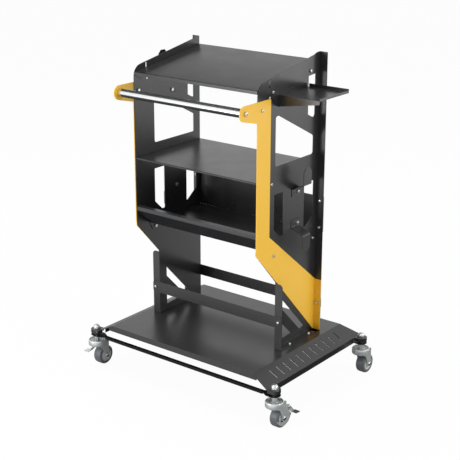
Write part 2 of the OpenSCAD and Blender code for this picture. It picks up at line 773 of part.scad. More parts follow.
module slots() for (i = [0 : slot_count - 1]) {
    y = (i - (slot_count - 1) / 2) * slot_pitch - deck_forward;
    translate([deck_w / 2 + slot_in, y - slot_w / 2, ear_z - wing_drop])
        cube([wing_run - slot_in - slot_out, slot_w, 3 * wing_drop]);
    for (x = [deck_w / 2 + slot_in, deck_w / 2 + wing_run - slot_out])
        translate([x, y, ear_z - wing_drop]) cylinder(r = slot_w / 2, h = 3 * wing_drop);
}

// Outline of an ear of radius r, with the neck that joins it to the wing
module ear_outline(c, r) {
    circle(r);
    translate([c[0] > 0 ? -wing_neck : 0, -r]) square([wing_neck, 2 * r]);
}

// Half of a front or rear lip. Its end runs on under the wing
module deck_lip_half(side) mirror([side > 0 ? 0 : 1, 0]) polygon([[0, deck_z],
    [deck_w / 2, deck_z], [deck_w / 2 + lip_run_top, deck_z - lip_run_top * wing_drop / wing_run],
    [deck_w / 2 + lip_run, deck_z - deck_lip], [0, deck_z - deck_lip]]);

module deck_ear(c) at_corner(c) translate([0, 0, ear_z]) {
    translate([0, 0, -deck_t]) linear_extrude(deck_t) difference() {
        ear_outline(c, ear_r);
        circle(stem_r + bolt_play);
    }
    translate([0, 0, -ear_rim_h]) linear_extrude(ear_rim_h) difference() {
        ear_outline(c, ear_r);
        ear_outline(c, ear_r - deck_t);
    }
}

module deck() color(black) difference() {
    union() {
        translate([0, -stems_forward, 0]) {
            translate([-deck_w / 2, deck_y[0], deck_z - deck_t]) cube([deck_w, deck_d, deck_t]);
            for (y = [deck_y[0], deck_y[1] - deck_t])
                translate([0, y + deck_t, 0]) rotate([90, 0, 0]) linear_extrude(deck_t)
                    for (side = [-1, 1]) deck_lip_half(side);
            wing(-1);
            wing(1);
        }
        for (c = CORNERS) deck_ear(c);
    }
    on_deck() for (side = [-1, 1]) foot_screw_holes(side);
}

foot_screw_x = half_w + foot_screw_out;

module foot_screw_holes(side) for (s = foot_screw_shares)
    translate([side * foot_screw_x, s * plate_d, -deck_t - over])
        cylinder(r = bolt_r + bolt_play, h = deck_t + plate_t + 2 * over);

module foot_screws() color(zinc) on_deck() for (side = [-1, 1], s = foot_screw_shares)
    translate([side * foot_screw_x, s * plate_d, plate_t]) {
        translate([0, 0, -plate_t - deck_t - bolt_r]) cylinder(r = bolt_r, h = plate_t + deck_t + bolt_r);
        cylinder(r1 = bolt_head_r, r2 = bolt_head_r * head_top_share, h = bolt_head_h);
    }

// Cross bar: a square tube that hangs from flat tapered ends under the deck's ears
module cross_bar(end) translate([0, end * stem_y - stems_forward, low_ear_z]) {
    tube_x = stem_x - ear_r - bar_taper;
    translate([0, 0, bar_flat_t - bar_h]) difference() {
        translate([-tube_x, -bar_d / 2, 0]) cube([2 * tube_x, bar_d, bar_h]);
        translate([-tube_x - over, bar_wall - bar_d / 2, bar_wall])
            cube([2 * (tube_x + over), bar_d - 2 * bar_wall, bar_h - 2 * bar_wall]);
    }
    for (side = [-1, 1]) mirror([side > 0 ? 0 : 1, 0, 0]) linear_extrude(bar_flat_t) difference() {
        union() {
            polygon([[tube_x, -bar_d / 2], [stem_x - ear_r, -ear_r], [stem_x, -ear_r],
                [stem_x, ear_r], [stem_x - ear_r, ear_r], [tube_x, bar_d / 2]]);
            translate([stem_x, 0]) circle(ear_r);
        }
        translate([stem_x, 0]) circle(stem_r + bolt_play);
    }
}

module front_cross_bar() color(dark) cross_bar(-1);
module rear_cross_bar() color(dark) cross_bar(1);

// Stem stack: riveted stem, swivel disc, lock nut, spacer and dome nut
module caster_stems() color(zinc) for (c = CORNERS) at_corner(c) {
    translate([0, 0, disc_z - pass_gap - cup_floor_t - pass_gap - rivet_h])
        cylinder(r = rivet_r, h = rivet_h);
    translate([0, 0, disc_z - 2 * pass_gap - cup_floor_t])
        cylinder(r = stem_r, h = ear_z + dome_hex_h - disc_z + 2 * pass_gap + cup_floor_t);
}

module swivel_discs() color("#5c6062") for (c = CORNERS) at_corner(c) translate([0, 0, disc_z])
    difference() {
        cylinder(r = cup_r - cup_rim_t - pass_gap, h = disc_t);
        translate([0, 0, -over]) cylinder(r = stem_r + thread_play, h = disc_t + 2 * over);
    }

module stem_lock_nuts() color(zinc) for (c = CORNERS) at_corner(c)
    translate([0, 0, disc_z + disc_t]) difference() {
        hexagon(lock_nut_flat, low_ear_z - disc_z - disc_t);
        translate([0, 0, -over]) cylinder(r = stem_r + thread_play, h = ear_clear + 3 * over);
    }

module stem_spacers() color(zinc) for (c = CORNERS) at_corner(c)
    translate([0, 0, low_ear_z + bar_flat_t]) difference() {
        cylinder(r = stem_r + spacer_wall, h = spacer_h);
        translate([0, 0, -over]) cylinder(r = stem_r + thread_play, h = spacer_h + 2 * over);
    }

module dome_nuts() color(chrome) for (c = CORNERS) at_corner(c) translate([0, 0, ear_z])
    difference() {
        union() {
            hexagon(dome_flat, dome_hex_h);
            intersection() {
                translate([0, 0, dome_h - dome_flat / 2]) sphere(r = dome_flat / 2);
                cylinder(r = dome_flat / 2, h = dome_h);
            }
            cylinder(r = dome_flat / 2, h = dome_h - dome_flat / 2);
        }
        translate([0, 0, -over]) cylinder(r = stem_r + thread_play, h = dome_hex_h + over);
    }

// Fork: a turned cup over two legs. The legs reach the axle, and lugs hold a pedal's pin
function axle_at() = [wheel_trail, wheel_r];

// Outline of a leg, with an arch ahead of it to the cup unless a brake's shoe passes there
module leg_outline(arched) {
    a = axle_at();
    step = cup_r * leg_step_share;
    top = rim_z - leg_top_drop;
    front = a[0] - leg_end_r;
    rear = a[0] + leg_end_r;
    web = [for (w = arched ? web_shares : [[0, 0]])
        [front - w[0] * cup_r, a[1] + w[1] * (cup_z - a[1])]];
    polygon(concat(web, [[web[len(web) - 1][0], cup_under + over], [step, cup_under + over],
        [step, top], [rear - leg_top_cut, top], [rear, top - leg_top_cut], [rear, a[1]]]));
    translate(a) circle(leg_end_r);
}

// Lug for a pedal's pin and, where the pin lies behind the leg, the guard under it
module lug_outline(lug) {
    a = axle_at();
    translate(lug) circle(eye_r + pedal_t);
    if (lug[0] > a[0]) polygon(concat([a, [a[0], cup_z], lug + [0, eye_r + pedal_t]],
        [for (g = guard_shares) a + g * wheel_r]));
}

module fork(c, lug) color(zinc) at_corner(c) {
    difference() {
        translate([0, 0, cup_z]) cylinder(r = cup_r, h = cup_h);
        translate([0, 0, disc_z - pass_gap])
            cylinder(r = cup_r - cup_rim_t, h = cup_h);
        translate([0, 0, cup_z - over]) cylinder(r = stem_r + run_fit, h = cup_h);
        translate([0, 0, cup_z - over])
            cylinder(r = cup_r - cup_rim_t, h = cup_under - cup_z + over);
    }
    for (x = [-fork_out, fork_in]) translate([x, 0, 0]) rotate([90, 0, 90])
        linear_extrude(fork_t) difference() {
            leg_outline(len(lug) < 2 || x * c[0] < 0 || lug[0] > wheel_trail);
            translate(axle_at()) circle(axle_r + bolt_play);
            if (len(lug) == 2 && x * c[0] > 0) translate(lug) circle(pedal_pin_r + bolt_play);
        }
    if (len(lug) == 2) translate([c[0] > 0 ? fork_in : -fork_out, 0, 0]) rotate([90, 0, 90])
        linear_extrude(fork_t) difference() {
            lug_outline(lug);
            translate(axle_at()) circle(axle_r + bolt_play);
            translate(lug) circle(pedal_pin_r + bolt_play);
        }
}

module at_axle(c) at_corner(c) translate([0, wheel_trail, wheel_r]) rotate([0, 90, 0]) children();

module axle(c) color(zinc) at_axle(c) {
    translate([0, 0, -fork_out - axle_nut_h - axle_tip])
        cylinder(r = axle_r, h = 2 * fork_out + axle_nut_h + axle_tip);
    translate([0, 0, fork_out]) cylinder(r1 = axle_head_r,
        r2 = axle_head_r * axle_top_share, h = axle_head_h);
}

module axle_nut(c) color(zinc) at_axle(c) translate([0, 0, -fork_out - axle_nut_h]) difference() {
    hexagon(axle_nut_flat, axle_nut_h);
    translate([0, 0, -over]) cylinder(r = axle_r + thread_play, h = axle_nut_h + 2 * over);
}

module hub(c) color(hub_grey) at_axle(c) rotate_extrude()
    polygon([[axle_r + run_fit, -wheel_w / 2 - wheel_side_gap + pass_gap],
        [hub_boss_r, -wheel_w / 2 - wheel_side_gap + pass_gap],
        [hub_boss_r, hub_dish - wheel_w / 2], [hub_r - hub_dish, hub_dish - wheel_w / 2],
        [hub_r - hub_dish, -wheel_w / 2], [hub_r, -wheel_w / 2], [hub_r, wheel_w / 2],
        [hub_r - hub_dish, wheel_w / 2], [hub_r - hub_dish, wheel_w / 2 - hub_dish],
        [hub_boss_r, wheel_w / 2 - hub_dish],
        [hub_boss_r, wheel_w / 2 + wheel_side_gap - pass_gap],
        [axle_r + run_fit, wheel_w / 2 + wheel_side_gap - pass_gap]]);

module tyre(c) color(rubber) at_axle(c) rotate_extrude($fn = 96)
    polygon(concat([[hub_r, wheel_w / 2], [hub_r, -wheel_w / 2]],
        corner([hub_r, -wheel_w / 2], [wheel_r, -wheel_w / 2], [wheel_r, wheel_w / 2], tread_round),
        corner([wheel_r, -wheel_w / 2], [wheel_r, wheel_w / 2], [hub_r, wheel_w / 2], tread_round)));

// Side pedal: an arm outside a leg, a tread at its end and a shoe that crosses to the tyre.
// ahead is 1 where the tread points to the front
module side_pedal(side, ahead, tread, shoe) mirror([side > 0 ? 0 : 1, 0, 0])
    mirror([0, ahead > 0 ? 1 : 0, 0]) difference() {
        translate([fork_out + pass_gap, 0, 0]) {
            rotate([90, 0, 90]) linear_extrude(pedal_t) {
                circle(eye_r);
                translate([shoe[0], -shoe[1]]) circle(shoe_pad_r);
                polygon([[0, eye_r], [tread[0] + tread_l / 2, -tread[1]],
                    [tread[0], -tread[1]], [-eye_r, 0]]);
            }
            translate([0, tread[0], -tread[1]]) cube([tread_w, tread_l, pedal_t]);
            translate([-fork_out - pass_gap, shoe[0], -shoe[1]]) rotate([0, 90, 0])
                cylinder(r = shoe_r, h = fork_out + pass_gap + pedal_t);
        }
        rotate([0, 90, 0]) cylinder(r = pedal_pin_r + run_fit, h = 2 * (fork_out + tread_w));
    }

// Pedal pin through the outer leg and the pedal's eye, with a head at each end
module pedal_pin(side) mirror([side > 0 ? 0 : 1, 0, 0]) rotate([0, 90, 0])
    translate([0, 0, fork_in - pin_head_h]) {
        reach = pin_head_h + fork_t + 2 * pass_gap + pedal_t;
        cylinder(r = pin_head_r, h = pin_head_h);
        cylinder(r = pedal_pin_r, h = reach + pin_head_h);
        translate([0, 0, reach]) cylinder(r = pin_head_r, h = pin_head_h);
    }

module at_pivot(c, pivot) at_corner(c) translate([0, pivot[0], pivot[1]]) children();

module front_left_pedal() color(zinc) at_pivot(FL, left_pivot)
    side_pedal(-1, 1, left_tread, left_shoe);
module front_left_pedal_pin() color(zinc) at_pivot(FL, left_pivot) pedal_pin(-1);
module front_right_pedal() color(dark) at_pivot(FR, right_pivot)
    side_pedal(1, -1, right_tread, right_shoe);
module front_right_pedal_pin() color(zinc) at_pivot(FR, right_pivot) pedal_pin(1);

side_plate_left();
side_plate_right();
yellow_panel_left();
yellow_panel_right();
handle_bar();
handle_inserts();
handle_bolts();
top_shelf();
middle_shelf();
bin_shelf();
back_panel();
side_tray();
upper_right_hook();
lower_right_hook();
upper_left_hook();
lower_left_hook();
front_rail();
back_rail();
deck();
front_cross_bar();
rear_cross_bar();
shelf_bolts();
plate_nuts();
panel_bolts();
hook_screws();
back_panel_screws();
rail_screws();
foot_screws();
dome_nuts();
stem_spacers();
stem_lock_nuts();
swivel_discs();
caster_stems();
fork(FL, left_pivot);  // front_left_fork
axle(FL);  // front_left_axle
axle_nut(FL);  // front_left_axle_nut
hub(FL);  // front_left_hub
tyre(FL);  // front_left_tyre
fork(FR, right_pivot);  // front_right_fork
axle(FR);  // front_right_axle
axle_nut(FR);  // front_right_axle_nut
hub(FR);  // front_right_hub
tyre(FR);  // front_right_tyre
fork(RL, []);  // rear_left_fork
axle(RL);  // rear_left_axle
axle_nut(RL);  // rear_left_axle_nut
hub(RL);  // rear_left_hub
tyre(RL);  // rear_left_tyre
fork(RR, []);  // rear_right_fork
axle(RR);  // rear_right_axle
axle_nut(RR);  // rear_right_axle_nut
hub(RR);  // rear_right_hub
tyre(RR);  // rear_right_tyre
front_left_pedal();
front_left_pedal_pin();
front_right_pedal();
front_right_pedal_pin();
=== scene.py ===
import math

import bmesh
import bpy
from mathutils import Matrix, Vector


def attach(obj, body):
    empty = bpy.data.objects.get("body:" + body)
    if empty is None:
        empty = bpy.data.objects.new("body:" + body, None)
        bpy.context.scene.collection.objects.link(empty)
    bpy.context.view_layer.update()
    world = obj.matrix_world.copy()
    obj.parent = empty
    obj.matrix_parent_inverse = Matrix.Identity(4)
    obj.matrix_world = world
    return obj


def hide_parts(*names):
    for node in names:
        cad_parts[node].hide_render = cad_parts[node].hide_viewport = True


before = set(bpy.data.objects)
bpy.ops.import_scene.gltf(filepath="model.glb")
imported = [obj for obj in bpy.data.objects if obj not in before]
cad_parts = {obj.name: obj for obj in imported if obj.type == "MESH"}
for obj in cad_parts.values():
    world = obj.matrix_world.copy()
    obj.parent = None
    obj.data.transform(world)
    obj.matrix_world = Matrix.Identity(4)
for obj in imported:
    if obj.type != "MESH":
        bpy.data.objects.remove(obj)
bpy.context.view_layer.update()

# The studio: a white floor and backdrop, one large soft lamp overhead and three round the cart, and
# black and grey boards, seen only in mirrors: they keep low faces dark and draw the chrome's bands.
# The camera stands where the photograph was taken, found from the cart's straight edges.
CAMERA_AT = (2.259, -2.91346, 1.75108)
TURN, TILT, ROLL = 0.66047251, 0.32449846, 0.00232637
LENS, FILM = 90.149, 36
back = Vector((math.sin(TURN) * math.cos(TILT), -math.cos(TURN) * math.cos(TILT), math.sin(TILT)))
right = Vector((math.cos(TURN), math.sin(TURN), 0))
up = back.cross(right)
right, up = right * math.cos(ROLL) + up * math.sin(ROLL), up * math.cos(ROLL) - right * math.sin(ROLL)
camera = bpy.data.objects.new("camera", bpy.data.cameras.new("camera"))
camera.matrix_world = Matrix.Translation(CAMERA_AT) @ Matrix((right, up, back)).transposed().to_4x4()
camera.data.sensor_width = FILM
camera.data.lens = LENS
bpy.context.scene.collection.objects.link(camera)
bpy.context.scene.camera = camera
bpy.context.scene.view_settings.view_transform = "Standard"


def linear(hex_colour):
    """An sRGB hex colour as linear red, green, blue and alpha"""
    parts = [int(hex_colour[i:i + 2], 16) / 255 for i in (1, 3, 5)]
    return (*(c / 12.92 if c <= 0.04045 else ((c + 0.055) / 1.055) ** 2.4 for c in parts), 1.0)


def add(tree, kind, settings=(), links=()):
    """Adds a node, with its own settings or input values, and links from other nodes' outputs"""
    made = tree.nodes.new(kind)
    for key, value in dict(settings).items():
        if isinstance(key, int) or key in made.inputs:
            made.inputs[key].default_value = value
        else:
            setattr(made, key, value)
    for key, source in dict(links).items():
        tree.links.new(source, made.inputs[key])
    return made


def blank_material(name):
    """A material with an empty node tree"""
    made = bpy.data.materials.new(name)
    made.use_nodes = True
    made.node_tree.nodes.clear()
    return made


def seen_directly(tree):
    """1 for camera, mirror and glass rays, which see the white backdrop, and 0 for light on things"""
    path = add(tree, "ShaderNodeLightPath")
    first = add(tree, "ShaderNodeMath", {"operation": "MAXIMUM"},
                {0: path.outputs["Is Camera Ray"], 1: path.outputs["Is Glossy Ray"]})
    return add(tree, "ShaderNodeMath", {"operation": "MAXIMUM"},
               {0: first.outputs[0], 1: path.outputs["Is Transmission Ray"]}).outputs[0]


def level_sheet(name, place, across, deep, material):
    """A flat piece of the studio that lies level, with its middle at a place"""
    bm = bmesh.new()
    bmesh.ops.create_grid(bm, x_segments=1, y_segments=1, size=0.5)
    bmesh.ops.scale(bm, vec=(across, deep, 1), verts=bm.verts)
    bmesh.ops.translate(bm, vec=place, verts=bm.verts)
    mesh = bpy.data.meshes.new(name)
    bm.to_mesh(mesh)
    bm.free()
    mesh.materials.append(material)
    sheet = bpy.data.objects.new(name, mesh)
    bpy.context.scene.collection.objects.link(sheet)
    return sheet


# The surroundings light the cart at half strength, and are seen as plain white
world = bpy.data.worlds.new("studio")
world.use_nodes = True
world.node_tree.nodes.clear()
falling = add(world.node_tree, "ShaderNodeBackground", {"Color": (1, 1, 1, 1), "Strength": 0.5})
seen = add(world.node_tree, "ShaderNodeBackground", {"Color": (1, 1, 1, 1), "Strength": 1.0})
mixed = add(world.node_tree, "ShaderNodeMixShader", (),
            {0: seen_directly(world.node_tree), 1: falling.outputs[0], 2: seen.outputs[0]})
add(world.node_tree, "ShaderNodeOutputWorld", (), {"Surface": mixed.outputs[0]})
bpy.context.scene.world = world

# The floor glows white where it is seen. The small rest is matt paper, which keeps a faint shadow.
FLOOR_W, GLOW_SHARE = 24, 0.96
paper = blank_material("white paper floor")
matt = add(paper.node_tree, "ShaderNodeBsdfDiffuse", {"Color": linear("#f2f2f2")})
bright = add(paper.node_tree, "ShaderNodeEmission", {"Color": (1, 1, 1, 1), "Strength": 1.0})
share = add(paper.node_tree, "ShaderNodeMath", {"operation": "MULTIPLY", 1: GLOW_SHARE},
            {0: seen_directly(paper.node_tree)})
lit = add(paper.node_tree, "ShaderNodeMixShader", (),
          {0: share.outputs[0], 1: matt.outputs[0], 2: bright.outputs[0]})
add(paper.node_tree, "ShaderNodeOutputMaterial", (), {"Surface": lit.outputs[0]})
floor = level_sheet("floor", (0, 0, 0), FLOOR_W, FLOOR_W, paper)

# Each lamp's name, its place, the point it faces, its width in metres and its power in watts
for name, place, aim, width, power in (
        ("overhead softbox", (-0.6, -0.4, 3.4), (0, 0, 0.5), 2.2, 46),
        ("front softbox", (-1.2, -3.4, 0.9), (0, 0, 0.5), 1.4, 74),
        ("side softbox", (3.5, 0.6, 2.1), (0, 0, 0.6), 1.6, 34),
        ("rear softbox", (2.7, 2.5, 0.95), (0, 0, 0.6), 1.5, 16)):
    lamp = bpy.data.objects.new(name.replace(" ", "_"), bpy.data.lights.new(name, "AREA"))
    lamp.data.size = width
    lamp.data.energy = power
    lamp.location = place
    lamp.rotation_mode = "QUATERNION"
    lamp.rotation_quaternion = (Vector(place) - Vector(aim)).to_track_quat("Z", "Y")
    bpy.context.scene.collection.objects.link(lamp)

# Each board's middle, its size across and in depth, and its colour: over the cart, over and under
# the handle, and two on the floor
for name, place, across, deep, colour in (
        ("upper_board", (-0.80, 0.22, 1.60), 2.4, 1.0, "#0a0a0a"),
        ("over_handle_board", (-0.07, -0.240, 1.062), 0.7, 0.150, "#454545"),
        ("under_handle_board", (-0.07, -0.285, 0.93), 0.7, 0.188, "#404040"),
        ("floor_board", (-0.03, 0.065, 0.002), 1.9, 1.08, "#0a0a0a"),
        ("rear_floor_board", (1.60, 0.85, 0.002), 1.3, 1.5, "#0a0a0a")):
    felt = blank_material(name + " felt")
    cloth = add(felt.node_tree, "ShaderNodeBsdfDiffuse", {"Color": linear(colour)})
    add(felt.node_tree, "ShaderNodeOutputMaterial", (), {"Surface": cloth.outputs[0]})
    board = level_sheet(name, place, across, deep, felt)
    for ray in ("visible_camera", "visible_diffuse", "visible_transmission", "visible_shadow"):
        setattr(board, ray, False)


# The deck: one sheet of 2.5 mm steel with folded front and rear lips, two slotted wings that
# slope down to an ear round each stem, and a folded lip along each wing. Black powder coat.
mm = 0.001


def shade(colour, share):
    """A linear colour a share as bright as an sRGB hex colour"""
    return [share * c for c in linear(colour)[:3]] + [1.0]


def powder_coat(name, colour, roughness, ior=1.42):
    """Baked powder coat: satin, with the faint pebbled skin that blurs what it mirrors"""
    coat = blank_material(name)
    tree = coat.node_tree
    where = add(tree, "ShaderNodeTexCoord").outputs["Object"]
    # The real skin's pebbles are 0.3 mm wide. They are drawn 2.5 mm wide, so that they show.
    pebbles = add(tree, "ShaderNodeTexNoise", {"Scale": 1 / (2.5 * mm), "Detail": 2.0}, {"Vector": where})
    # The gloss drifts over patches 60 mm wide, as it does where the oven's heat was uneven
    clouds = add(tree, "ShaderNodeTexNoise", {"Scale": 1 / (60 * mm), "Detail": 2.0}, {"Vector": where})
    tone = add(tree, "ShaderNodeMix", {"data_type": "RGBA", 6: linear(colour), 7: shade(colour, 1.12)},
               {0: pebbles.outputs["Fac"]})
    gloss = add(tree, "ShaderNodeMapRange", {"To Min": roughness - 0.05, "To Max": roughness + 0.05},
                {"Value": clouds.outputs["Fac"]})
    skin = add(tree, "ShaderNodeBump", {"Strength": 0.05, "Distance": 0.15 * mm},
               {"Height": pebbles.outputs["Fac"]})
    shader = add(tree, "ShaderNodeBsdfPrincipled", {"IOR": ior},
                 {"Base Color": tone.outputs[2], "Roughness": gloss.outputs[0], "Normal": skin.outputs[0]})
    add(tree, "ShaderNodeOutputMaterial", (), {"Surface": shader.outputs[0]})
    return coat


def copied(node):
    """A copy of a node's triangles, merged into flat faces"""
    bm = bmesh.new()
    bm.from_mesh(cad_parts[node].data)
    bmesh.ops.remove_doubles(bm, verts=bm.verts, dist=1e-6)
    bmesh.ops.dissolve_limit(bm, angle_limit=math.radians(1), verts=bm.verts, edges=bm.edges)
    return bm


def bevelled(bm, edges, radius, segments):
    """Rounds some edges and returns the new faces"""
    return bmesh.ops.bevel(bm, geom=edges, offset=radius, offset_type="OFFSET", segments=segments,
                           profile=0.5, affect="EDGES", clamp_overlap=True, material=-1)["faces"]


def sharper(edges, angle):
    """Those edges where two faces meet at more than an angle, in degrees"""
    return [e for e in edges if len(e.link_faces) == 2 and e.calc_face_angle() > math.radians(angle)]


def folded(node, sheet, outer=3.0, inner=1.2):
    """A sheet part as it leaves the press brake: its folds are rolled and its cut edges eased. The
    sheet's thickness and the outer and inner radius of its folds are in millimetres"""
    bm = copied(node)
    bm.normal_update()

    def broad(face):
        """True for the sheet's own faces, and false for the strips along its cut edges"""
        return 2 * face.calc_area() > 1.3 * sheet * mm * face.calc_perimeter()

    folds = {True: [], False: []}
    for e in sharper(bm.edges, 20):
        if all(map(broad, e.link_faces)):
            folds[e.is_convex].append(e)
    rolled = set()
    for edges, radius in ((folds[True], outer), (folds[False], inner)):
        edges = [e for e in edges if e.is_valid]
        if edges:
            rolled.update(bevelled(bm, edges, radius * mm, 3))
    eased = bevelled(bm, sharper(bm.edges, 35), 0.35 * mm, 2)
    rolled = {f for f in rolled if f.is_valid} | set(eased)
    for f in bm.faces:
        f.smooth = f in rolled
    return bm


def placed(bm, name, material, body, nodes):
    """Makes a piece of the mesh, which rides on a body and stands for CAD nodes"""
    mesh = bpy.data.meshes.new(name)
    bm.to_mesh(mesh)
    bm.free()
    mesh.materials.append(material)
    piece = bpy.data.objects.new(name, mesh)
    bpy.context.scene.collection.objects.link(piece)
    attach(piece, body)
    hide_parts(*nodes)


black_coat = powder_coat("satin black powder coat", "#262628", 0.30, 1.55)
placed(folded("deck", 2.5, outer=3.4, inner=1.3), "deck_sheet", black_coat, "frame", ["deck"])

# Two cross bars under the deck's ears: square tube, flattened at the ends and bolted under the
# stems. Their coat is painted a deeper black than the deck's: painted shade for the deck's shadow on them.
shade_darkened_coat = powder_coat("black powder coat with painted shade", "#0c0c0d", 0.50, 1.3)
for end in ("front", "rear"):
    placed(folded(end + "_cross_bar", 3, outer=1.6, inner=0.5), end + "_bar", shade_darkened_coat, "frame",
           [end + "_cross_bar"])

# What holds each caster: a dome nut on the ear, a spacer sleeve between ear and cross bar, a
# lock nut under the bar and a swivel disc with its ball groove. Bright zinc plate on steel.
# From here on, turned shapes are drawn in millimetres and sized to metres at the end.
DOME_FLAT, DOME_HEX, DOME_H = 24, 8, 17
CROWN_R, CROWN_FOOT = 0.94 * DOME_FLAT / 2, DOME_HEX - 0.5
SPACER_R, STEM_HOLE_R, LOCK_FLAT = 8, 6.05, 15


def metal(name, colour, roughness, streak=0.0, bare=1.0):
    """Plated steel: bright, with fine drawn streaks that spread its reflections. How bare it is
    says how much of it shines as metal, and the rest is the plate's dull grey bloom"""
    made = blank_material(name)
    tree = made.node_tree
    where = add(tree, "ShaderNodeTexCoord").outputs["Object"]
    # The bloom comes in spots about 9 mm wide, and the streaks are 0.6 mm wide
    spots = add(tree, "ShaderNodeTexNoise", {"Scale": 1 / (9 * mm), "Detail": 3.0}, {"Vector": where})
    lines = add(tree, "ShaderNodeTexNoise", {"Scale": 1 / (0.6 * mm), "Detail": 2.0}, {"Vector": where})
    tone = add(tree, "ShaderNodeMix", {"data_type": "RGBA", 6: shade(colour, 0.9), 7: linear(colour)},
               {0: spots.outputs["Fac"]})
    gloss = add(tree, "ShaderNodeMapRange", {"To Min": roughness * 0.92, "To Max": roughness * 1.08},
                {"Value": spots.outputs["Fac"]})
    bump = add(tree, "ShaderNodeBump", {"Strength": streak, "Distance": 0.1 * mm},
               {"Height": lines.outputs["Fac"]})
    shader = add(tree, "ShaderNodeBsdfPrincipled", {"Metallic": bare},
                 {"Base Color": tone.outputs[2], "Roughness": gloss.outputs[0], "Normal": bump.outputs[0]})
    add(tree, "ShaderNodeOutputMaterial", (), {"Surface": shader.outputs[0]})
    return made


def solids(node):
    """The box of each separate solid in a node, in millimetres, from left to right and front to back"""
    bm = copied(node)
    left = set(bm.verts)
    boxes = []
    while left:
        group, todo = set(), [left.pop()]
        while todo:
            v = todo.pop()
            group.add(v)
            for e in v.link_edges:
                w = e.other_vert(v)
                if w in left:
                    left.remove(w)
                    todo.append(w)
        low = Vector([min(v.co[i] for v in group) for i in range(3)]) / mm
        high = Vector([max(v.co[i] for v in group) for i in range(3)]) / mm
        boxes.append((low, high))
    bm.free()
    return sorted(boxes, key=lambda b: tuple(b[0]))


def added(bm, before):
    """The vertices that a mesh has gained since it had only those before"""
    return [v for v in bm.verts if v not in before]


def faces_of(verts):
    return {f for v in verts for f in v.link_faces}


def ease(bm, faces, radius, angle):
    """Rounds those edges of some faces that are sharper than an angle, and shades the faces smoothly"""
    sharp = set(sharper([e for f in faces for e in f.edges], angle))
    if radius and sharp:
        made = bevelled(bm, list(sharp), radius, 2)
        faces = {f for f in faces if f.is_valid} | set(made)
    for f in faces:
        f.smooth = True


def turned(bm, profile, steps, eased=0.0, angle=30):
    """Turns a profile of radius and height about Z, and eases its edges. Returns the new vertices"""
    before = set(bm.verts)
    verts = [bm.verts.new((r, 0, z)) for r, z in profile]
    closed = profile[0][0] > 0 and profile[-1][0] > 0
    ends = verts[1:] + verts[:1] if closed else verts[1:]
    edges = [bm.edges.new(pair) for pair in zip(verts, ends)]
    bmesh.ops.spin(bm, geom=verts + edges, cent=(0, 0, 0), axis=(0, 0, 1), dvec=(0, 0, 0), angle=2 * math.pi,
                   steps=steps, use_merge=True, use_normal_flip=False, use_duplicate=False)
    bmesh.ops.remove_doubles(bm, verts=added(bm, before), dist=1e-4)
    faces = faces_of(added(bm, before))
    bmesh.ops.recalc_face_normals(bm, faces=list(faces))
    ease(bm, faces, eased, angle)
    return added(bm, before)


def moved(bm, verts, place, turn=None):
    """Turns some vertices, where a turn is given, and then moves them to a place"""
    bmesh.ops.transform(bm, matrix=Matrix.Translation(place) @ (turn or Matrix.Identity(4)), verts=verts)


def sized(bm):
    """Goes from millimetres to metres, and keeps the shading of faces at a sharp angle apart"""
    bmesh.ops.scale(bm, vec=(mm, mm, mm), verts=bm.verts)
    for e in bm.edges:
        e.smooth = len(e.link_faces) != 2 or e.calc_face_angle() < math.radians(38)
    return bm


def hexagon(bm, flat, height, eased):
    """A hexagonal prism of a width across its flats, with eased edges. Returns its vertices"""
    before = set(bm.verts)
    corner = flat / 2 / math.cos(math.pi / 6)
    bmesh.ops.create_cone(bm, cap_ends=True, segments=6, radius1=corner, radius2=corner, depth=height)
    moved(bm, added(bm, before), (0, 0, height / 2))
    ease(bm, faces_of(added(bm, before)), eased, 40)
    return added(bm, before)


def dome_nut(bm):
    """A hexagon with a rounded crown on top"""
    turns = [math.pi * k / 16 for k in range(8)]
    crown = [(CROWN_R * math.cos(a), CROWN_FOOT + (DOME_H - CROWN_FOOT) * math.sin(a)) for a in turns]
    foot = [(0, CROWN_FOOT - 1), (CROWN_R, CROWN_FOOT - 1)]
    return hexagon(bm, DOME_FLAT, DOME_HEX, 0.8) + turned(bm, [*foot, *crown, (0, DOME_H)], 32, 0.25)


zinc = metal("bright zinc plate", "#d3d7d7", 0.30, 0.02, bare=0.5)
polished = metal("polished steel", "#d6d9da", 0.14, 0.05, bare=0.9)
disc_steel = metal("dull zinc on pressed steel", "#b4b8b8", 0.42, 0.1, bare=0.4)
domes = solids("dome_nuts")
stems = [((low + high) / 2).to_2d() for low, high in domes]
ear_top = domes[0][0].z
disc_low, disc_high = solids("swivel_discs")[0]
lock_low, lock_high = solids("stem_lock_nuts")[0]
spacer_low, spacer_high = solids("stem_spacers")[0]


def at_stems(shape, height, name, material, node):
    """Makes one piece of the same shape on all four stems, its foot at a height"""
    bm = bmesh.new()
    for x, y in stems:
        moved(bm, shape(bm), (x, y, height))
    placed(sized(bm), name, material, "frame", [node])


at_stems(dome_nut, ear_top, "dome_nuts_bright", polished, "dome_nuts")

h = spacer_high.z - spacer_low.z
sleeve = [(STEM_HOLE_R, 0), (SPACER_R, 0), (SPACER_R, h), (STEM_HOLE_R, h)]
at_stems(lambda bm: turned(bm, sleeve, 32, 0.5), spacer_low.z, "spacer_sleeves", polished,
         "stem_spacers")

at_stems(lambda bm: hexagon(bm, LOCK_FLAT, lock_high.z - lock_low.z, 0.7), lock_low.z, "lock_nuts_hex",
         zinc, "stem_lock_nuts")

